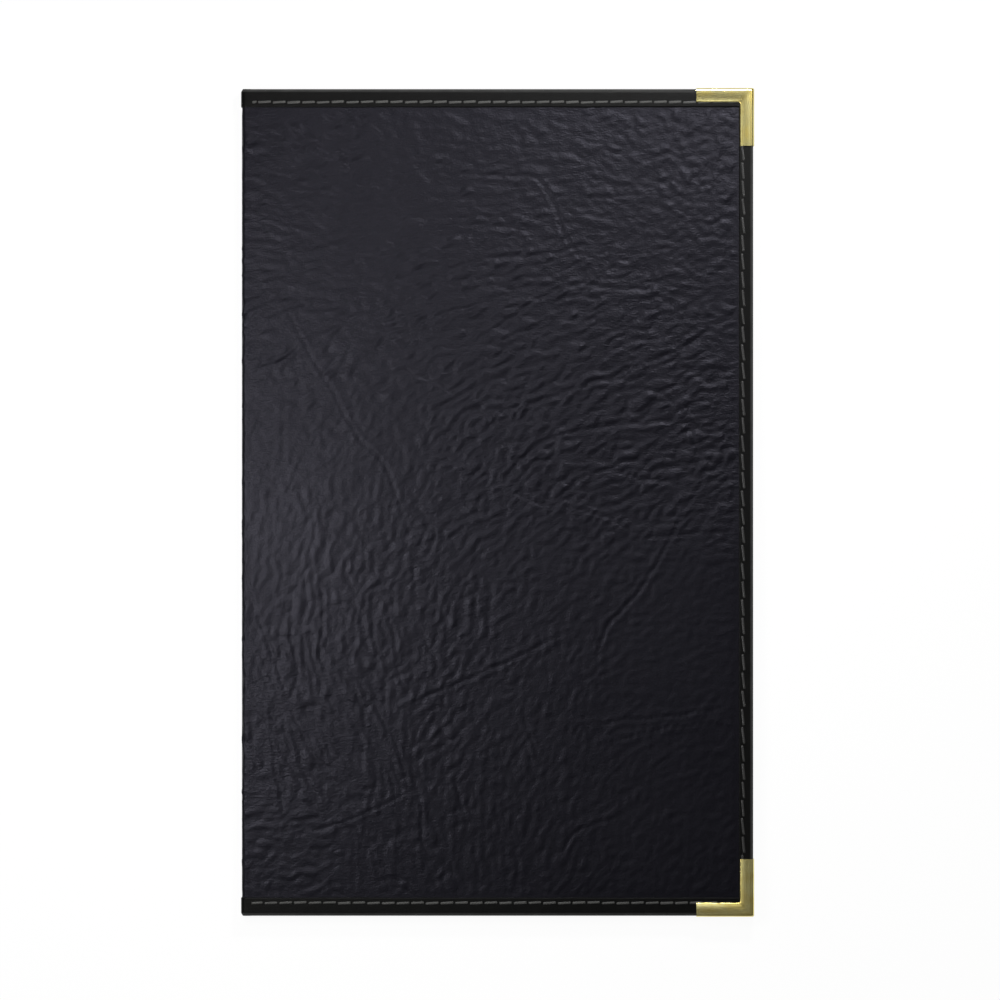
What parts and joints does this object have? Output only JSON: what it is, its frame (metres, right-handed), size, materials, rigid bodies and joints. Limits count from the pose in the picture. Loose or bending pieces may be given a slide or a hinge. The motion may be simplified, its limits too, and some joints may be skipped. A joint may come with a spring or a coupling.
{
  "type": "menu cover",
  "caption": "Two-leaf leather menu cover with stiff boards, sewn edge bindings, brass corners and clear inner pockets, folding flat along a soft spine.",
  "frame": {"origin": "middle of the base of the closed cover, in the plane that it lies on", "axes": "+X from the spine to the fore edge, +Y from the bottom edge to the top edge, +Z out of the front leaf"},
  "size_m": [0.231, 0.373, 0.0103],
  "materials": {
    "leather": "creased black hide, semi-matt",
    "board": "grey pressed board",
    "lining": "fine black woven lining",
    "clear_vinyl": "clear soft vinyl sheet",
    "binding": "smooth black binding strip",
    "brass": "bright pressed brass"
  },
  "bodies": {
    "back_panel": {"back_leather": "leather", "back_board": "board", "back_lining": "lining", "back_pocket": "clear_vinyl", "back_top_binding": "binding", "back_side_binding": "binding", "back_bottom_binding": "binding", "back_top_corner": "brass", "back_bottom_corner": "brass"},
    "spine": {"spine_leather": "leather", "spine_lining": "lining", "spine_top_binding": "binding", "spine_bottom_binding": "binding"},
    "front_panel": {"front_leather": "leather", "front_board": "board", "front_lining": "lining", "front_pocket": "clear_vinyl", "front_top_binding": "binding", "front_side_binding": "binding", "front_bottom_binding": "binding", "front_top_corner": "brass", "front_bottom_corner": "brass"}
  },
  "joints": [
    {"name": "spine_fold", "type": "hinge", "parent": "back_panel", "child": "spine", "pos_m": [-0.11444, 0, 0.00196], "axis": [0, -1, 0], "range_deg": [0, 90], "deforming": ["spine_leather", "spine_lining", "spine_top_binding", "spine_bottom_binding"]},
    {"name": "cover_fold", "type": "hinge", "parent": "spine", "child": "front_panel", "pos_m": [-0.11444, 0, 0.00834], "axis": [0, -1, 0], "range_deg": [0, 90], "deforming": ["spine_leather", "spine_lining", "spine_top_binding", "spine_bottom_binding"]}
  ],
  "couplings": [
    {"joint": "cover_fold", "follows": "spine_fold", "ratio": 1}
  ]
}
